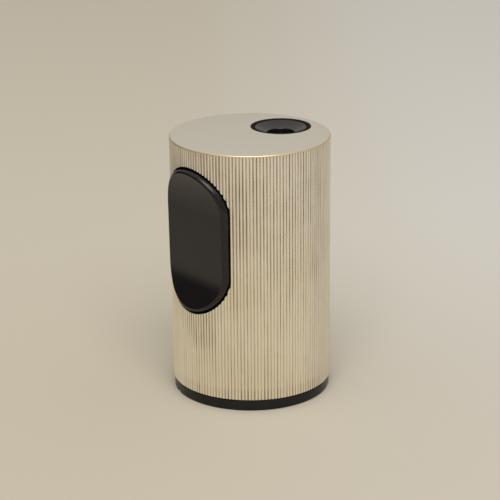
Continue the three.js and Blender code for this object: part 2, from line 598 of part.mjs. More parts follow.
add(lighter, 'outer_shell', outerShell(), SILVER);
add(lighter, 'base_housing', baseHousing(), BLACK_PLASTIC);
add(lighter, 'bottom_cover', bottomCover(), BLACK_PLASTIC);
coverScrewPlaces.forEach(([x, y], i) => {
  add(groupAt(x, y, 0), `cover_screw_${i + 1}`, screw(SCREW), STEEL).rotation.z = i + 0.4;
});
tankScrewPlaces.forEach(([x, y], i) => {
  add(groupAt(x, y, 0), `tank_screw_${i + 1}`, screw(TANK_SCREW), STEEL).rotation.z = i + 0.7;
});
add(lighter, 'gas_tank', tankBody(), TANK_PLASTIC);
add(lighter, 'tank_lid', tankLid(), TANK_PLASTIC);
add(lighter, 'chassis_frame', chassisFrame(), DARK_PLASTIC);
frameScrewPlaces.forEach(([x, y], i) => {
  const { shank, head, low } = FRAME_SCREW;
  const headLow = FOOT.high + 0.2;
  const shape = screw({ shank, head, headLow: -headLow - 1, headHigh: -headLow, tip: -low });
  add(groupAt(x, y, 0), `frame_screw_${i + 1}`, shape, STEEL).rotation.set(Math.PI, 0, i + 0.9);
});
add(lighter, 'thumb_button', thumbButton(), GLOSS_BLACK);
add(lighter, 'button_pin', cylinderX(BUTTON_PIN_RADIUS, PIVOT.y, PIVOT.z, -17.4, 17.4), STEEL);
const springLow = BUTTON_SPRING.seatY - 1.6 - GAP;
const buttonCoil = spring(BUTTON_SPRING.radius, BUTTON_SPRING.wire, BULKHEAD.front - 0.8 - springLow, 5);
add(lighter, 'button_spring', buttonCoil.rotateX(-Math.PI / 2), STEEL)
  .position.set(BUTTON_SPRING.x, springLow, BUTTON_SPRING.z);
add(lighter, 'gas_lever', gasLever(), STEEL);
add(lighter, 'lever_pin', cylinderX(LEVER_PIN_RADIUS, CRANK.y, CRANK.z, EAR.low, 17.4), STEEL);
burnerGroup();
adjusterGroup();
fillerGroup();
sparkGroup();
add(lighter, 'ignition_lead', ignitionLead(), RED_SHEATH);

export default lighter;
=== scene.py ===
"""A cylindrical table lighter in a plain pale studio.

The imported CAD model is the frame, and the pieces made here are its looks. Metres, +Z up. The thumb button
faces -Y, and the flame comes out on the +Y side of the top.
"""

import json
import math

import bpy
import bmesh
import numpy as np
from mathutils import Matrix, Vector


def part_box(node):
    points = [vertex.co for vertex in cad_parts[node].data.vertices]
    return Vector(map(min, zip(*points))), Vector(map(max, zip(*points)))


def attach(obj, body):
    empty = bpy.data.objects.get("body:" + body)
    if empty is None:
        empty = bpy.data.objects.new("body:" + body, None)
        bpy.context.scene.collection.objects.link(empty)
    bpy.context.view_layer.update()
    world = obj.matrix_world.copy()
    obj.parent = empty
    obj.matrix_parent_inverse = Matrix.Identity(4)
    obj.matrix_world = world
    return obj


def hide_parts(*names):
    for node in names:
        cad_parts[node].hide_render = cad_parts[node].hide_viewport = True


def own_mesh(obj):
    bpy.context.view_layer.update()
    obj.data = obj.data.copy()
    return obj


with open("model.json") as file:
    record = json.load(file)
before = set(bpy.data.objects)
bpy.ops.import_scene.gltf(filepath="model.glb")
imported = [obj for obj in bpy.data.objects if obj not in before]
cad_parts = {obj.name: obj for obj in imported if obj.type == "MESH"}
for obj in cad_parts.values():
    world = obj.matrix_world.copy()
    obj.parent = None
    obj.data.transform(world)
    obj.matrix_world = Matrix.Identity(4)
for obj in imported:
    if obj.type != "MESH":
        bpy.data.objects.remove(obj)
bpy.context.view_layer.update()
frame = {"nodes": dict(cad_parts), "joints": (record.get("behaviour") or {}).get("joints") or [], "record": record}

MM = 0.001
TAU = 2 * math.pi


# ---- Places and sizes, from the frame where it has them --------------------------------------------------


def joint(name):
    return next(j for j in frame["joints"] if j["name"] == name)


def span(node, axis):
    low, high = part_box(node)
    return low[axis], high[axis]


def middle(node):
    low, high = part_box(node)
    return (low + high) / 2


SLEEVE_R = span("outer_shell", 0)[1]
SLEEVE_LOW, SLEEVE_HIGH = span("outer_shell", 2)
SLEEVE_WALL = 1.1 * MM
TOP_THICK = 1.2 * MM

BUTTON_LOW, BUTTON_HIGH = span("thumb_button", 2)
BUTTON_HALF = span("thumb_button", 0)[1]
BUTTON_GAP = 0.6 * MM
TOP_GAP = 0.48 * MM  # above the button
PIVOT = Vector(joint("button_press")["pos_m"])

OUTLET = middle("burner_ring")
OUTLET_R = 10.3 * MM


# ---- Mesh building ---------------------------------------------------------------------------------------

scene = bpy.context.scene


def make_object(name, verts, faces):
    mesh = bpy.data.meshes.new(name)
    mesh.from_pydata([tuple(v) for v in verts], [], faces)
    mesh.validate()
    mesh.update()
    obj = bpy.data.objects.new(name, mesh)
    scene.collection.objects.link(obj)
    return obj


def face_outward(obj):
    """Consistent normals that look out of the closed mesh."""
    bm = bmesh.new()
    bm.from_mesh(obj.data)
    bmesh.ops.recalc_face_normals(bm, faces=bm.faces[:])
    if bm.calc_volume(signed=True) < 0:
        bmesh.ops.reverse_faces(bm, faces=bm.faces[:])
    bm.to_mesh(obj.data)
    bm.free()


def smooth(obj, degrees=35):
    mesh = obj.data
    mesh.polygons.foreach_set("use_smooth", [True] * len(mesh.polygons))
    mesh.set_sharp_from_angle(angle=math.radians(degrees))
    mesh.update()


def grid_faces(rings, count):
    """Quads between successive closed rings of count points each."""
    faces = []
    for r in range(rings - 1):
        for c in range(count):
            d = (c + 1) % count
            faces.append((r * count + c, r * count + d, (r + 1) * count + d, (r + 1) * count + c))
    return faces


ON_AXIS = 1e-9


def lathe(name, profile, segments=128, at=(0, 0, 0)):
    """A profile of (radius, height) turned about Z. It starts and ends on the axis, or else is a ring."""
    closed = profile[0][0] > ON_AXIS
    verts, rings = [], []
    for r, z in profile:
        if r < ON_AXIS:
            rings.append([len(verts)])
            verts.append((at[0], at[1], at[2] + z))
            continue
        rings.append(list(range(len(verts), len(verts) + segments)))
        for i in range(segments):
            a = TAU * i / segments
            verts.append((at[0] + r * math.cos(a), at[1] + r * math.sin(a), at[2] + z))
    if closed:
        rings.append(rings[0])
    faces = []
    for a, b in zip(rings, rings[1:]):
        for i in range(segments):
            j = (i + 1) % segments
            if len(a) == 1 and len(b) > 1:
                faces.append((a[0], b[j], b[i]))
            elif len(b) == 1 and len(a) > 1:
                faces.append((a[i], a[j], b[0]))
            elif len(a) > 1:
                faces.append((a[i], a[j], b[j], b[i]))
    obj = make_object(name, verts, faces)
    face_outward(obj)
    return obj


def rounded(profile, radius, steps=4):
    """The profile with its corners rounded. A corner on the axis stays sharp."""
    out = []
    n = len(profile)
    ring = profile[0][0] > ON_AXIS
    for i, p in enumerate(profile):
        corner = ring or 0 < i < n - 1
        if not corner:
            out.append(p)
            continue
        p = Vector(p)
        before, after = Vector(profile[i - 1]) - p, Vector(profile[(i + 1) % n]) - p
        longest = 0.45 * min(before.length, after.length)
        reach = min(radius, longest)
        a, b = p + before.normalized() * reach, p + after.normalized() * reach
        for k in range(steps + 1):
            t = k / steps
            q = a * (1 - t) ** 2 + p * 2 * t * (1 - t) + b * t * t
            out.append((q.x, q.y))
    return out


def prism(name, outline, low, high, axis="z"):
    """A closed outline of (u, v) points drawn out between two places along an axis."""
    n = len(outline)
    place = {
        "z": lambda u, v, w: (u, v, w),
        "y": lambda u, v, w: (u, w, v),
        "x": lambda u, v, w: (w, u, v),
    }[axis]
    verts = [place(u, v, w) for w in (low, high) for u, v in outline]
    faces = grid_faces(2, n) + [tuple(range(n))[::-1], tuple(range(n, 2 * n))]
    obj = make_object(name, verts, faces)
    face_outward(obj)
    return obj


def circle(r, segments, cx=0, cy=0):
    turns = [TAU * i / segments for i in range(segments)]
    return [(cx + r * math.cos(t), cy + r * math.sin(t)) for t in turns]


def apply_modifiers(obj):
    graph = bpy.context.evaluated_depsgraph_get()
    mesh = bpy.data.meshes.new_from_object(obj.evaluated_get(graph))
    obj.modifiers.clear()
    old = obj.data
    obj.data = mesh
    bpy.data.meshes.remove(old)


def weld(obj):
    """Joins corners that a cut has left within a thousandth of a millimetre of each other."""
    bm = bmesh.new()
    bm.from_mesh(obj.data)
    bmesh.ops.remove_doubles(bm, verts=bm.verts[:], dist=0.001 * MM)
    bm.to_mesh(obj.data)
    bm.free()


def boolean(obj, other, operation="DIFFERENCE"):
    """Cuts, joins or meets obj with other, which is used up."""
    mod = obj.modifiers.new("cut", "BOOLEAN")
    mod.operation = operation
    mod.solver = "EXACT"
    mod.object = other
    apply_modifiers(obj)
    weld(obj)
    mesh = other.data
    bpy.data.objects.remove(other)
    bpy.data.meshes.remove(mesh)


def stadium(half, low, high, arc=48, straight=10):
    """Points round an upright outline with half-round ends, as (x, z)."""
    top, bottom = high - half, low + half
    turns = [math.pi * i / arc for i in range(arc + 1)]
    points = [(half * math.cos(t), top + half * math.sin(t)) for t in turns]
    points += [(-half, top + (bottom - top) * i / straight) for i in range(1, straight)]
    points += [(-half * math.cos(t), bottom - half * math.sin(t)) for t in turns]
    points += [(half, bottom + (top - bottom) * i / straight) for i in range(1, straight)]
    return points


# ---- Sleeve ----------------------------------------------------------------------------------------------

FLUTES = 150
FLUTE_COLUMNS = 10  # points across one flute
FLUTE_DEPTH = 0.35 * MM
FLUTE_POWER = 1.8  # 1 would make a plain V, and more makes a broader, rounder ridge
LIP_ROUND = 0.05 * MM
RIM_ROUND = 0.42 * MM
RIM_STEPS = 8
RIM_BAND = 0.12 * MM  # plain metal between the rounded rim and the flutes
FLUTE_FADE = 0.2 * MM  # over which a flute runs out at the rim


def flute_radius(column):
    across = 2 * abs((column / FLUTE_COLUMNS) % 1 - 0.5)
    return SLEEVE_R - FLUTE_DEPTH * (1 - across) ** FLUTE_POWER


def build_sleeve():
    columns = FLUTES * FLUTE_COLUMNS
    fluted = np.array([flute_radius(c) for c in range(columns)])
    angle = np.arange(columns) * TAU / columns
    # Each row has a height, a radius that it doesn't pass, and how much of the flutes' depth it has.
    rows = [(SLEEVE_LOW, SLEEVE_R - LIP_ROUND, 1), (SLEEVE_LOW + LIP_ROUND, SLEEVE_R, 1)]
    band = SLEEVE_HIGH - RIM_ROUND - RIM_BAND
    rows += [(band - FLUTE_FADE * t, SLEEVE_R, depth) for t, depth in ((1, 1), (0.5, 0.6), (0, 0))]
    rows.append((SLEEVE_HIGH - RIM_ROUND, SLEEVE_R, 0))
    for k in range(1, RIM_STEPS + 1):
        a = math.pi / 2 * k / RIM_STEPS
        z = SLEEVE_HIGH - RIM_ROUND * (1 - math.sin(a))
        rows.append((z, SLEEVE_R - RIM_ROUND * (1 - math.cos(a)), 0))
    verts = []
    for z, envelope, depth in rows:
        r = np.minimum(envelope, SLEEVE_R + (fluted - SLEEVE_R) * depth)
        verts.extend(zip(r * np.cos(angle), r * np.sin(angle), np.full(columns, z)))
    faces = grid_faces(len(rows), columns)
    last = (len(rows) - 1) * columns
    faces += [tuple(range(columns))[::-1], tuple(range(last, last + columns))]
    sleeve = make_object("sleeve", verts, faces)
    face_outward(sleeve)

    bore = circle(SLEEVE_R - SLEEVE_WALL, 192)
    boolean(sleeve, prism("inside", bore, SLEEVE_LOW - 1 * MM, SLEEVE_HIGH - TOP_THICK))
    outline = stadium(BUTTON_HALF + BUTTON_GAP, BUTTON_LOW - BUTTON_GAP, BUTTON_HIGH + TOP_GAP)
    boolean(sleeve, prism("opening", outline, -SLEEVE_R - 2 * MM, -10 * MM, "y"))
    hole = circle(OUTLET_R, 128, OUTLET.x, OUTLET.y)
    boolean(sleeve, prism("outlet", hole, SLEEVE_HIGH - 4 * MM, SLEEVE_HIGH + 1 * MM))
    smooth(sleeve, 32)
    return sleeve


# ---- Thumb button ----------------------------------------------------------------------------------------

BUTTON_TILT = math.radians(1.05)
RIM_R = 27.8 * MM  # the cylinder that the face's rim follows
BUTTON_ROUND = 1.15 * MM
BUTTON_WALL = 1.8 * MM
# The visible button is a little shorter than the CAD's, so the gap is wider at its round ends.
PIECE_LOW, PIECE_HIGH = BUTTON_LOW + 0.25 * MM, BUTTON_HIGH - 0.3 * MM
SKIRT_Y = -19 * MM
SKIRT_EDGE, SKIRT_INNER_EDGE = 0.3 * MM, 0.2 * MM
FACE_EDGE = 0.1 * MM  # from the rounding to the face's first ring
FACE_HALF = BUTTON_HALF - BUTTON_ROUND
FACE_SIDES = math.sqrt(RIM_R**2 - FACE_HALF**2)
FACE_ENDS = (PIECE_LOW + BUTTON_HALF, PIECE_HIGH - BUTTON_HALF)  # the centres of its end arcs


def lean(z):
    return -(z - PIVOT.z) * math.tan(BUTTON_TILT)


def rim_y(x, z, drop):
    return lean(z) - math.sqrt((RIM_R - drop) ** 2 - x**2)


def face_y(z, drop):
    """The face is straight from side to side and ends at the rim, so it dips between its round ends."""
    beyond = max(FACE_ENDS[0] - z, 0, z - FACE_ENDS[1])
    return lean(z) + drop - math.hypot(FACE_SIDES, beyond)


def build_button():
    rings = []

    def ring(inset, place):
        outline = stadium(BUTTON_HALF - inset, PIECE_LOW + inset, PIECE_HIGH - inset)
        rings.append([(x, place(x, z), z) for x, z in outline])

    inner_rings, edge_rings, face_rings = 12, 10, 24
    inner_reach = 0.98 * (BUTTON_HALF - BUTTON_WALL)  # one long face closes what is left at the middle line
    inner_drop = BUTTON_WALL + SKIRT_INNER_EDGE
    for k in range(inner_rings, -1, -1):  # the inside of the face, from its middle line outwards
        ring(BUTTON_WALL + inner_reach * k / inner_rings, lambda x, z: face_y(z, inner_drop))
    ring(BUTTON_WALL, lambda x, z: SKIRT_Y + SKIRT_INNER_EDGE)
    ring(BUTTON_WALL - SKIRT_INNER_EDGE, lambda x, z: SKIRT_Y)
    ring(SKIRT_EDGE, lambda x, z: SKIRT_Y)
    ring(0.0, lambda x, z: SKIRT_Y - SKIRT_EDGE)
    for k in range(edge_rings + 1):
        a = math.pi / 2 * k / edge_rings
        drop = BUTTON_ROUND * (1 - math.sin(a))
        ring(BUTTON_ROUND * (1 - math.cos(a)), lambda x, z, drop=drop: rim_y(x, z, drop))
    ring(BUTTON_ROUND + FACE_EDGE, lambda x, z: face_y(z, 0))
    face_reach = 0.99 * FACE_HALF
    for k in range(1, face_rings + 1):
        ring(BUTTON_ROUND + face_reach * k / face_rings, lambda x, z: face_y(z, 0))
    count = len(rings[0])
    verts = [p for r in rings for p in r]
    faces = grid_faces(len(rings), count)
    last = (len(rings) - 1) * count
    faces += [tuple(range(count)), tuple(range(last, last + count))]
    button = make_object("button", verts, faces)
    face_outward(button)
    add_inner_parts(button)
    smooth(button, 50)
    return button


def link_outline(a, b, r, steps=14):
    """The outline round two equal circles, a and b, and the bar between them."""
    heading = math.atan2(b[1] - a[1], b[0] - a[0])
    turns = [math.pi * i / steps for i in range(steps + 1)]
    points = []
    for (u, v), start in ((b, heading - math.pi / 2), (a, heading + math.pi / 2)):
        points += [(u + r * math.cos(start + t), v + r * math.sin(start + t)) for t in turns]
    return points


def behind_face(drop):
    """All that lies that far behind the face."""
    steps = 24
    heights = [BUTTON_LOW + (BUTTON_HIGH - BUTTON_LOW) * i / steps for i in range(steps + 1)]
    outline = [(face_y(z, drop), z) for z in heights] + [(0, BUTTON_HIGH), (0, BUTTON_LOW)]
    return prism("behind", outline, -BUTTON_HALF, BUTTON_HALF, "x")


# The parts on the back of the face, at the CAD's places: (y, z) for the lugs, and (x, z) for the others.
LUG_NEAR, LUG_FAR, LUG_R, LUG_HEAD = 9.5 * MM, 12 * MM, 2.5 * MM, (-22 * MM, 45 * MM)
FINGER, FINGER_HALF, FINGER_TIP = (6 * MM, 55 * MM), 1.5 * MM, -8.6 * MM
BOSS, BOSS_R, BOSS_TIP = (-7 * MM, 70 * MM), 2.5 * MM, -19 * MM
SEAT, SEAT_R, SEAT_TIP = (0, 62 * MM), 2 * MM, -20.2 * MM
SUNK = 0.9 * MM  # how far behind the face's surface they start
PIN_CLEARANCE = 0.4 * MM


def add_inner_parts(button):
    """Two lugs for the pin, the finger that tips the lever, the plunger's boss and the spring's seat."""
    lug = link_outline(LUG_HEAD, (PIVOT.y, PIVOT.z), LUG_R)
    sides = ((-LUG_FAR, -LUG_NEAR), (LUG_NEAR, LUG_FAR))
    parts = [prism("lug", lug, low, high, "x") for low, high in sides]
    square = ((-1, -1), (1, -1), (1, 1), (-1, 1))
    finger = [(FINGER[0] + FINGER_HALF * u, FINGER[1] + FINGER_HALF * v) for u, v in square]
    in_front = -30 * MM
    parts.append(prism("finger", finger, in_front, FINGER_TIP, "y"))
    parts.append(prism("boss", circle(BOSS_R, 40, *BOSS), in_front, BOSS_TIP, "y"))
    parts.append(prism("seat", circle(SEAT_R, 40, *SEAT), in_front, SEAT_TIP, "y"))
    for part in parts:
        boolean(part, behind_face(SUNK), "INTERSECT")
        boolean(button, part, "UNION")
    pin_low, pin_high = span("button_pin", 2)
    hole = circle((pin_high - pin_low) / 2 + PIN_CLEARANCE, 40, PIVOT.y, PIVOT.z)
    boolean(button, prism("pin_hole", hole, -LUG_FAR - 1 * MM, LUG_FAR + 1 * MM, "x"))


# ---- Materials -------------------------------------------------------------------------------------------


class Nodes:
    """A short way to write a material's nodes."""

    def __init__(self, name):
        self.material = bpy.data.materials.new(name)
        self.material.use_nodes = True
        self.tree = self.material.node_tree
        self.tree.nodes.clear()
        self.shader = self.node("ShaderNodeBsdfPrincipled")
        output = self.node("ShaderNodeOutputMaterial")
        self.link(self.shader.outputs["BSDF"], output.inputs["Surface"])
        self.place = self.node("ShaderNodeTexCoord").outputs["Object"]

    def node(self, kind, **settings):
        node = self.tree.nodes.new(kind)
        for key, value in settings.items():
            setattr(node, key, value)
        return node

    def link(self, output, socket):
        self.tree.links.new(output, socket)

    def put(self, socket, value):
        if isinstance(value, bpy.types.NodeSocket):
            self.link(value, socket)
        else:
            socket.default_value = value

    def math(self, operation, a, b=0.0, clamp=False):
        node = self.node("ShaderNodeMath", operation=operation, use_clamp=clamp)
        for socket, value in zip(node.inputs, (a, b)):
            self.put(socket, value)
        return node.outputs[0]

    def coordinates(self):
        parts = self.node("ShaderNodeSeparateXYZ")
        self.link(self.place, parts.inputs[0])
        return parts.outputs

    def along(self, x, y, direction):
        """How far a point lies along a level direction."""
        x, y = self.math("MULTIPLY", x, direction[0]), self.math("MULTIPLY", y, direction[1])
        return self.math("ADD", x, y)

    def noise(self, vector, scale, detail=3.0, roughness=0.5):
        node = self.node("ShaderNodeTexNoise")
        self.put(node.inputs["Vector"], vector)
        self.put(node.inputs["Scale"], scale)
        self.put(node.inputs["Detail"], detail)
        self.put(node.inputs["Roughness"], roughness)
        return node.outputs["Fac"]

    def ramp(self, value, low, high, to_low=0.0, to_high=1.0):
        """A smooth change from to_low to to_high while the value goes from low to high."""
        node = self.node("ShaderNodeMapRange", interpolation_type="SMOOTHSTEP")
        names = ("Value", "From Min", "From Max", "To Min", "To Max")
        for name, setting in zip(names, (value, low, high, to_low, to_high)):
            self.put(node.inputs[name], setting)
        return node.outputs[0]

    def mix(self, factor, a, b):
        node = self.node("ShaderNodeMix", data_type="RGBA")
        self.put(node.inputs["Factor"], factor)
        self.put(node.inputs["A"], a)
        self.put(node.inputs["B"], b)
        return node.outputs["Result"]

    def bump(self, height, strength, distance):
        node = self.node("ShaderNodeBump")
        self.put(node.inputs["Strength"], strength)
        self.put(node.inputs["Distance"], distance)
        self.put(node.inputs["Height"], height)
        self.link(node.outputs["Normal"], self.shader.inputs["Normal"])

    def set(self, **values):
        for key, value in values.items():
            self.put(self.shader.inputs[key.replace("_", " ")], value)
        return self.material


def rgb(r, g, b):
    return (r, g, b, 1.0)


# Level directions in the frame: towards the picture's right, and away from the viewer.
RIGHT, AWAY = (0.663, 0.748), (-0.748, 0.663)
GRIP = (3 * MM, -SLEEVE_R, BUTTON_LOW - 4 * MM)  # where fingers hold the sleeve, under the button
# The first two colours are painted shade: a duller silver for one side of the sleeve, and dark brown for the cut
# edges of the openings, in the shade of the gaps.
SHADED_SILVER, CUT_EDGE_SHADE, BRASS_RIM = rgb(0.72, 0.66, 0.57), rgb(0.10, 0.06, 0.035), rgb(0.74, 0.60, 0.35)


def streaky(n, x, y, z, radius):
    """Long thin streaks: a flute keeps its tint for a few centimetres."""
    turn = n.node("ShaderNodeCombineXYZ")
    n.put(turn.inputs["X"], n.math("DIVIDE", x, radius))
    n.put(turn.inputs["Y"], n.math("DIVIDE", y, radius))
    n.put(turn.inputs["Z"], n.math("MULTIPLY", z, 1.3))
    return n.noise(turn.outputs[0], 26.0, 3.0, 0.6)


def near_grip(n):
    distance = n.node("ShaderNodeVectorMath", operation="DISTANCE")
    n.put(distance.inputs[0], n.place)
    n.put(distance.inputs[1], GRIP)
    return n.ramp(distance.outputs["Value"], 17 * MM, 4 * MM)


def silver_plate():
    """Warm satin silver, tarnished brown in the flutes and worn to brass along the top rim; painted shade dulls
    one side and the cut edges.
    """
    n = Nodes("silver_plate_worn")
    x, y, z = n.coordinates()
    radius = n.math("SQRT", n.math("ADD", n.math("MULTIPLY", x, x), n.math("MULTIPLY", y, y)))
    depth = n.math("SUBTRACT", SLEEVE_R, radius)
    patches = n.noise(n.place, 55.0, 3.0, 0.55)
    fine = n.noise(n.place, 900.0, 2.0, 0.6)
    on_side = n.ramp(z, SLEEVE_HIGH - 0.1 * MM, SLEEVE_HIGH - 0.5 * MM)

    # The tarnish is deepest in the flutes, towards the top, round the grip and along the lower edge.
    groove = n.math("MULTIPLY", n.ramp(depth, 0.04 * MM, 0.3 * MM), on_side)
    place = n.ramp(z, SLEEVE_LOW, SLEEVE_HIGH, 0.6, 1.15)
    place = n.math("MAXIMUM", place, n.math("MULTIPLY", near_grip(n), 1.2))
    place = n.math("MAXIMUM", place, n.ramp(z, SLEEVE_LOW + 7 * MM, SLEEVE_LOW + 2 * MM, 0.0, 1.05))
    streaks = n.ramp(streaky(n, x, y, z, radius), 0.36, 0.64, 0.45, 1.0)
    uneven = n.math("MULTIPLY", streaks, n.ramp(patches, 0.35, 0.62, 0.7, 1.0))
    tarnish = n.math("MULTIPLY", groove, n.math("MULTIPLY", uneven, place), clamp=True)

    height = n.ramp(z, 40 * MM, 80 * MM)
    plate = n.mix(height, rgb(0.98, 0.93, 0.80), rgb(0.975, 0.93, 0.84))
    worn = n.mix(height, rgb(0.95, 0.885, 0.735), rgb(0.92, 0.865, 0.765))
    silver = n.mix(n.math("MULTIPLY", n.ramp(patches, 0.35, 0.65), on_side), plate, worn)
    # Painted shade: the silver turns a duller grey on the side towards RIGHT.
    painted_shade_right = n.ramp(n.along(x, y, RIGHT), 0.55 * SLEEVE_R, 0.95 * SLEEVE_R, 0.0, 0.5)
    silver = n.mix(n.math("MULTIPLY", painted_shade_right, on_side), silver, SHADED_SILVER)
    brown = n.mix(patches, rgb(0.18, 0.125, 0.07), rgb(0.33, 0.25, 0.165))
    colour = n.mix(tarnish, silver, brown)

    # The cut edges of the openings, deeper than any flute, are painted dark brown: painted shade of the gaps round
    # the button and the outlet.
    cut = n.ramp(depth, FLUTE_DEPTH + 0.03 * MM, FLUTE_DEPTH + 0.12 * MM)
    cut = n.math("MULTIPLY", cut, n.ramp(z, SLEEVE_HIGH - 0.3 * MM, SLEEVE_HIGH - 0.8 * MM))
    colour = n.mix(cut, colour, CUT_EDGE_SHADE)
    rim = n.math(
        "MULTIPLY",
        n.ramp(z, SLEEVE_HIGH - 0.62 * MM, SLEEVE_HIGH - 0.48 * MM),
        n.ramp(radius, SLEEVE_R - 0.45 * MM, SLEEVE_R - 0.25 * MM),
    )
    colour = n.mix(n.math("MULTIPLY", rim, 0.8), colour, BRASS_RIM)

    n.bump(fine, 0.12, 0.02 * MM)
    blotchy = n.math("MULTIPLY", n.ramp(patches, 0.3, 0.7, 0.0, 0.1), on_side)
    roughness = n.math("ADD", blotchy, 0.34)
    for where, rougher in ((tarnish, 0.2), (rim, 0.12), (cut, 0.25)):
        roughness = n.math("ADD", roughness, n.math("MULTIPLY", where, rougher))
    metal = n.math("SUBTRACT", 1.0, n.math("MULTIPLY", n.math("MAXIMUM", tarnish, cut), 0.5))
    return n.set(Base_Color=colour, Roughness=roughness, Metallic=metal)


def polished_black(name="polished_black", rough=0.12, index=1.445):
    """Gloss black moulding with a faint smear and a little dust."""
    n = Nodes(name)
    smear = n.noise(n.place, 90.0, 4.0, 0.6)
    dust = n.noise(n.place, 1500.0, 2.0, 0.7)
    specks = n.ramp(dust, 0.72, 0.8)
    black, dusty, tint = rgb(0.0066, 0.006, 0.0068), rgb(0.12, 0.11, 0.1), rgb(1.0, 0.95, 0.99)
    colour = n.mix(n.math("MULTIPLY", specks, 0.25), black, dusty)
    roughness = n.math("ADD", n.ramp(smear, 0.3, 0.7, rough, rough + 0.06), n.math("MULTIPLY", specks, 0.3))
    n.bump(n.noise(n.place, 400.0, 2.0, 0.5), 0.03, 0.01 * MM)
    return n.set(Base_Color=colour, Roughness=roughness, IOR=index, Specular_Tint=tint)


def satin_black(name="satin_black", shade=0.01, rough=0.4, index=1.45):
    """Black moulding with a fine grain, lighter where it has been handled."""
    n = Nodes(name)
    texture = n.noise(n.place, 1400.0, 3.0, 0.6)
    wear = n.noise(n.place, 120.0, 4.0, 0.6)
    light, dark = shade * 1.35, shade * 0.8
    deep, rubbed = rgb(dark, dark, dark * 0.95), rgb(light, light * 0.97, light * 0.92)
    colour = n.mix(n.ramp(wear, 0.3, 0.7), deep, rubbed)
    n.bump(texture, 0.25, 0.03 * MM)
    return n.set(Base_Color=colour, Roughness=n.ramp(wear, 0.3, 0.7, rough - 0.05, rough + 0.1), IOR=index)


def plain(name, low, high, rough, metallic=0.0):
    """A two-tone material with a fine surface: moulded plastic, turned metal, rubber or ceramic."""
    n = Nodes(name)
    tone = n.noise(n.place, 300.0, 4.0, 0.6)
    fine = n.noise(n.place, 1800.0, 2.0, 0.5)
    colour = n.mix(n.ramp(tone, 0.3, 0.7), rgb(*low), rgb(*high))
    roughness = n.ramp(tone, 0.3, 0.7, rough - 0.06, rough + 0.06)
    n.bump(fine, 0.1, 0.02 * MM)
    return n.set(Base_Color=colour, Roughness=roughness, Metallic=metallic)


SLOT_MATERIALS = {
    "silver_plate": silver_plate(),
    "black_plastic": satin_black(),
    "gloss_black": polished_black(),
    "dark_plastic": plain("moulded_grey", (0.035, 0.035, 0.038), (0.055, 0.055, 0.06), 0.5),
    "tank_plastic": plain("ivory_plastic", (0.62, 0.58, 0.48), (0.72, 0.68, 0.57), 0.35),
    "brass": plain("turned_brass", (0.55, 0.36, 0.13), (0.72, 0.5, 0.2), 0.32, 1.0),
    "steel": plain("plain_steel", (0.42, 0.41, 0.4), (0.56, 0.55, 0.54), 0.33, 1.0),
    "rubber": plain("seal_rubber", (0.012, 0.012, 0.012), (0.025, 0.025, 0.024), 0.7),
    "ceramic": plain("glazed_ceramic", (0.7, 0.66, 0.58), (0.8, 0.77, 0.7), 0.3),
    "red_sheath": plain("red_sheath", (0.2, 0.02, 0.015), (0.3, 0.03, 0.02), 0.45),
}

record = frame["record"]
node_slots = {s["node"]: s["material_slot"] for s in record["subparts"]}


def finish_piece(obj, body, node, material=None):
    """Gives a new piece its material and its body, and hides the CAD node that it stands for."""
    name = node_slots[node]
    obj.data.materials.clear()
    obj.data.materials.append(material or SLOT_MATERIALS[name])
    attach(obj, body)
    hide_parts(node)
    return obj


for node_name, obj in frame["nodes"].items():
    obj.data.materials.clear()
    obj.data.materials.append(SLOT_MATERIALS[node_slots[node_name]])


# ---- Outlet and burner -----------------------------------------------------------------------------------
#
# These profiles are (radius, height) in millimetres, like the CAD's.


def ring_black():
    """Flat black that hardly reflects."""
    n = Nodes("ring_black")
    grain = n.noise(n.place, 1600.0, 3.0, 0.6)
    n.bump(grain, 0.2, 0.02 * MM)
    colour = n.mix(grain, rgb(0.003, 0.003, 0.003), rgb(0.009, 0.0085, 0.008))
    return n.set(Base_Color=colour, Roughness=0.75, Specular_IOR_Level=0.12)


def turned(name, profile, segments, at=(0, 0, 0)):
    obj = lathe(name, [(r * MM, z * MM) for r, z in profile], segments, at)
    smooth(obj, 40)
    return obj


AT_OUTLET = (OUTLET.x, OUTLET.y, 0)


def build_outlet_ring():
    top = SLEEVE_HIGH / MM
    lip, body, flange, spigot, bore = 9.05, 10.0, 11.4, 7.2, 5.6
    profile = [(lip, top), (body, top), (body, 87.5), (flange, 87.5), (flange, 86.3), (body, 86.3)]
    profile += [(body, 83.0), (spigot, 83.0), (spigot, 80.7), (bore, 80.7), (bore, 84.2), (lip, 84.2)]
    return turned("outlet_ring", rounded(profile, 0.15, 3), 128, AT_OUTLET)


DISH_R, DISH_TOP = 8.75, 88.83
MOUTH_R, WELL_R, WELL_OUTER = 4.6, 4.1, 5.2  # where the dish ends, then the well's foot and its outside


def build_outlet_dish():
    """A shallow bowl, hollowed along one smooth curve from its rim to the mouth of the well."""
    rim, pull, mouth = Vector((8.6, 88.8)), Vector((6.4, 87.5)), Vector((MOUTH_R + 0.12, 87.05))
    steps = 16
    curve = []
    for k in range(steps + 1):
        t = k / steps
        p = rim * (1 - t) ** 2 + pull * 2 * t * (1 - t) + mouth * t * t
        curve.append((p.x, p.y))
    edge = [(DISH_R, DISH_TOP - 0.11), (DISH_R - 0.05, DISH_TOP)]
    well = [(MOUTH_R + 0.03, 86.95), (MOUTH_R, 86.8), (MOUTH_R - 0.1, 84.6)]
    well += [(WELL_R, 79.7), (WELL_R + 0.1, 79.6)]
    outside = [(WELL_OUTER - 0.1, 79.6), (WELL_OUTER, 79.7), (WELL_OUTER, 85.4)]
    outside += [(8.0, 87.3), (DISH_R, 88.5)]
    return turned("outlet_dish", edge + curve + well + outside, 128, AT_OUTLET)


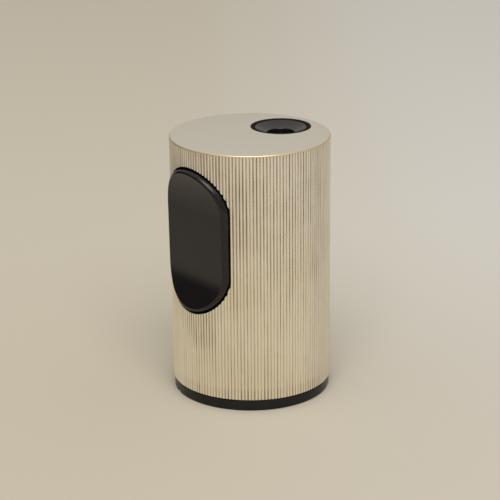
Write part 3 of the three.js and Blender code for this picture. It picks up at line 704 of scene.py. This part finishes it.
def build_nozzle():
    foot, neck, tip, jet = 1.7, 1.35, 1.0, 0.4
    profile = [(0, 79.5), (foot, 79.5), (foot, 82.0), (neck, 82.3), (neck, 83.6), (tip, 84.6), (jet, 84.6)]
    profile += [(jet, 82.5), (0, 82.5)]
    return turned("burner_tip", rounded(profile, 0.08, 2), 64, AT_OUTLET)


# ---- Foot ------------------------------------------------------------------------------------------------

FOOT_R, FOOT_HIGH, BASE_HIGH = 26.7, 3.6, 4.4
SPIGOT_R, SPIGOT_INNER, SPIGOT_HIGH = 25.3, 23.8, 8.0
RECESS_R, RECESS_HIGH = 22.8, 1.9  # for the bottom cover
DIAL_R, SPINDLE_R, FILLER_R, VALVE_R = 5.3, 1.9, 4.4, 3.3
NOTCH_AT, NOTCH_HALF_WIDTH, NOTCH_DEPTH = math.radians(248), 1.5, 1.2


def build_foot():
    """The black base, with holes for the adjuster and the filler and a small notch in its lower edge."""
    profile = [(0, RECESS_HIGH), (RECESS_R, RECESS_HIGH), (RECESS_R, 0.0), (FOOT_R - 0.3, 0.0)]
    profile += [(FOOT_R - 0.08, 0.4), (FOOT_R, FOOT_HIGH), (SPIGOT_R, FOOT_HIGH), (SPIGOT_R, SPIGOT_HIGH)]
    profile += [(SPIGOT_INNER, SPIGOT_HIGH), (SPIGOT_INNER, BASE_HIGH), (0, BASE_HIGH)]
    foot = turned("foot", rounded(profile, 0.18, 3), 192)
    recess_end, through = 3, 9
    for node, wide, narrow in (("adjuster_dial", DIAL_R, SPINDLE_R), ("filler_body", FILLER_R, VALVE_R)):
        at = middle(node)
        for r, end in ((wide, recess_end), (narrow, through)):
            boolean(foot, prism("hole", circle(r * MM, 64, at.x, at.y), -1 * MM, end * MM))
    c, s = math.cos(NOTCH_AT), math.sin(NOTCH_AT)
    outline = []
    for u, v in ((-1, -1), (1, -1), (1, 1), (-1, 1)):
        out, aside = FOOT_R + NOTCH_DEPTH * u, NOTCH_HALF_WIDTH * v
        outline.append(((out * c - aside * s) * MM, (out * s + aside * c) * MM))
    boolean(foot, prism("notch", outline, -1 * MM, 1 * MM))
    smooth(foot, 40)
    return foot


# ---- Springs ---------------------------------------------------------------------------------------------


def build_spring(name, node, axis, wire, turns):
    """A coil with closed ends where the CAD's coil stands. wire is a radius, axis is 1 for Y or 2 for Z."""
    low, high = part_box(node)
    centre = (low + high) / 2
    radius = (high[0] - low[0]) / 2 - wire
    start, length = low[axis] + wire, high[axis] - low[axis] - 2 * wire
    dead, steps, sides = 0.8, 28, 10
    closed_pitch = 2.08 * wire
    pitch = (length - 2 * dead * closed_pitch) / turns
    across = {1: (Vector((1, 0, 0)), Vector((0, 0, -1))), 2: (Vector((1, 0, 0)), Vector((0, 1, 0)))}[axis]
    along = across[0].cross(across[1])
    origin = centre.copy()
    origin[axis] = start
    verts = []
    count = round((turns + 2 * dead) * steps)
    for i in range(count + 1):
        t = (turns + 2 * dead) * i / count
        height = closed_pitch * min(t, dead) + pitch * min(max(t - dead, 0), turns)
        height += closed_pitch * max(t - dead - turns, 0)
        a = TAU * t
        outward = across[0] * math.cos(a) + across[1] * math.sin(a)
        point = origin + outward * radius + along * height
        for k in range(sides):
            b = TAU * k / sides
            verts.append(point + (outward * math.cos(b) + along * math.sin(b)) * wire)
    faces = grid_faces(count + 1, sides)
    faces += [tuple(range(sides)), tuple(range(count * sides, (count + 1) * sides))]
    obj = make_object(name, verts, faces)
    face_outward(obj)
    smooth(obj, 50)
    return obj


def add_spring(name, node, axis, wire, turns):
    """The spring's far end bears on a fixed seat. The whole coil is fixed to the housing."""
    obj = finish_piece(build_spring(name, node, axis, wire, turns), "housing", node)
    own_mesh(obj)


add_spring("button_coil", "button_spring", 1, 0.45 * MM, 5)
add_spring("valve_coil", "valve_spring", 2, 0.2 * MM, 3)
add_spring("spark_coil", "spark_spring", 1, 0.25 * MM, 6)
add_spring("filler_coil", "filler_spring", 2, 0.18 * MM, 4)

finish_piece(build_sleeve(), "housing", "outer_shell")
finish_piece(build_button(), "thumb_button", "thumb_button")
finish_piece(build_outlet_ring(), "housing", "burner_ring", ring_black())
finish_piece(build_outlet_dish(), "housing", "flame_dish", polished_black("dish_black", 0.14, 1.66))
finish_piece(build_nozzle(), "burner_stem", "burner_nozzle")
finish_piece(build_foot(), "housing", "base_housing", satin_black("foot_black", 0.006, 0.33, 1.36))


# ---- Studio ----------------------------------------------------------------------------------------------


def build_floor():
    """A wide pale sheet of paper, with painted light that makes it a little cooler and lighter towards the back
    and the right.
    """
    radius, thickness = 6.0, 0.02
    obj = prism("floor", circle(radius, 96), -thickness, 0.0)
    n = Nodes("paper_painted_light")
    fibre = n.noise(n.place, 500.0, 3.0, 0.6)
    x, y, _ = n.coordinates()
    # Painted light: the paper's tone is lighter and cooler towards RIGHT and AWAY, as if the light were stronger
    # from there.
    right, far = n.ramp(n.along(x, y, RIGHT), -0.06, 0.12), n.ramp(n.along(x, y, AWAY), -0.1, 0.22)
    near_painted_light = n.mix(right, rgb(0.55, 0.505, 0.42), rgb(0.568, 0.532, 0.482))
    far_painted_light = n.mix(right, rgb(0.59, 0.55, 0.475), rgb(0.655, 0.645, 0.63))
    colour = n.mix(far, near_painted_light, far_painted_light)
    n.bump(fibre, 0.05, 0.05 * MM)
    obj.data.materials.append(n.set(Base_Color=colour, Roughness=0.85))


def add_key_light():
    """One soft square light, high up behind the camera and a little to its right, aimed at the origin."""
    light = bpy.data.lights.new("key", "AREA")
    light.energy = 17.5
    light.color = (1.0, 0.97, 0.91)
    light.size = 1.15
    obj = bpy.data.objects.new("key", light)
    obj.location = (0.77, -0.61, 1.4)
    obj.rotation_euler = (-Vector(obj.location)).to_track_quat("-Z", "Y").to_euler()
    scene.collection.objects.link(obj)


def build_flag():
    """A dark card that only reflections see. It stands beyond the button, out of the picture."""
    distance, half_width, low, high = 0.215, 0.2, 0.5 * MM, 0.16
    x, y = -0.748, -0.664  # from the button's face towards the card
    foot = [(distance * x + w * y, distance * y - w * x) for w in (-half_width, half_width)]
    verts = [(u, v - SLEEVE_R, z) for z in (low, high) for u, v in foot]
    obj = make_object("flag", verts, [(0, 1, 3, 2)])
    n = Nodes("flag_cloth")
    weave = n.noise(n.place, 800.0, 2.0, 0.5)
    _, _, z = n.coordinates()
    cloth = n.mix(weave, rgb(0.09, 0.09, 0.095), rgb(0.13, 0.13, 0.13))
    cloth = n.mix(n.ramp(z, 0.0, 0.028), rgb(0.5, 0.48, 0.42), cloth)  # paler at its foot
    obj.data.materials.append(n.set(Base_Color=cloth, Roughness=0.9))
    obj.visible_camera = obj.visible_diffuse = obj.visible_shadow = False


def build_world():
    """Dim at the horizon and bright overhead. The camera itself sees the same pale tone all round."""
    world = bpy.data.worlds.new("studio")
    scene.world = world
    world.use_nodes = True
    tree = world.node_tree
    tree.nodes.clear()
    new, link = tree.nodes.new, tree.links.new
    direction = new("ShaderNodeTexCoord")
    parts = new("ShaderNodeSeparateXYZ")
    ramp = new("ShaderNodeValToRGB")
    ramp.color_ramp.interpolation = "EASE"
    mid_height, levels = 0.28, (0.35, 0.46, 0.71)  # at the horizon, at that height and overhead
    ramp.color_ramp.elements.new(mid_height)
    for element, level in zip(ramp.color_ramp.elements, levels):
        element.color = rgb(level, level * 0.955, level * 0.86)
    background = new("ShaderNodeBackground")
    pale = new("ShaderNodeBackground")
    pale.inputs["Color"].default_value = rgb(0.56, 0.52, 0.44)
    path = new("ShaderNodeLightPath")
    mix = new("ShaderNodeMixShader")
    output = new("ShaderNodeOutputWorld")
    link(direction.outputs["Generated"], parts.inputs[0])
    link(parts.outputs["Z"], ramp.inputs["Fac"])
    link(ramp.outputs["Color"], background.inputs["Color"])
    link(path.outputs["Is Camera Ray"], mix.inputs["Fac"])
    link(background.outputs[0], mix.inputs[1])
    link(pale.outputs[0], mix.inputs[2])
    link(mix.outputs[0], output.inputs["Surface"])


# Degrees and metres. The focal length and the shift are in pixels of a picture that is PICTURE pixels wide,
# and the sensor's width is in millimetres.
CAMERA = dict(azimuth=48.44, elevation=19.241, roll=-0.487, distance=0.67587)
FOCAL, SHIFT, PICTURE, SENSOR = 1980.8, (0.909, 13.287), 500, 36.0
AIM = Vector((0, 0, 43.2 * MM))


def build_camera():
    data = bpy.data.cameras.new("camera")
    obj = bpy.data.objects.new("camera", data)
    scene.collection.objects.link(obj)
    az, el, roll = (math.radians(CAMERA[k]) for k in ("azimuth", "elevation", "roll"))
    forward = Vector((-math.sin(az) * math.cos(el), math.cos(az) * math.cos(el), -math.sin(el)))
    right = Vector((math.cos(az), math.sin(az), 0))
    up = right.cross(forward)
    right, up = right * math.cos(roll) + up * math.sin(roll), up * math.cos(roll) - right * math.sin(roll)
    turn = Matrix((right, up, -forward)).transposed()
    obj.matrix_world = Matrix.Translation(AIM - forward * CAMERA["distance"]) @ turn.to_4x4()
    data.sensor_width = SENSOR
    data.lens = FOCAL / PICTURE * SENSOR
    data.shift_x = -SHIFT[0] / PICTURE
    data.shift_y = SHIFT[1] / PICTURE
    data.clip_start, data.clip_end = 0.01, 50
    scene.camera = obj


build_floor()
build_world()
add_key_light()
build_flag()
build_camera()
scene.view_settings.view_transform = "Standard"
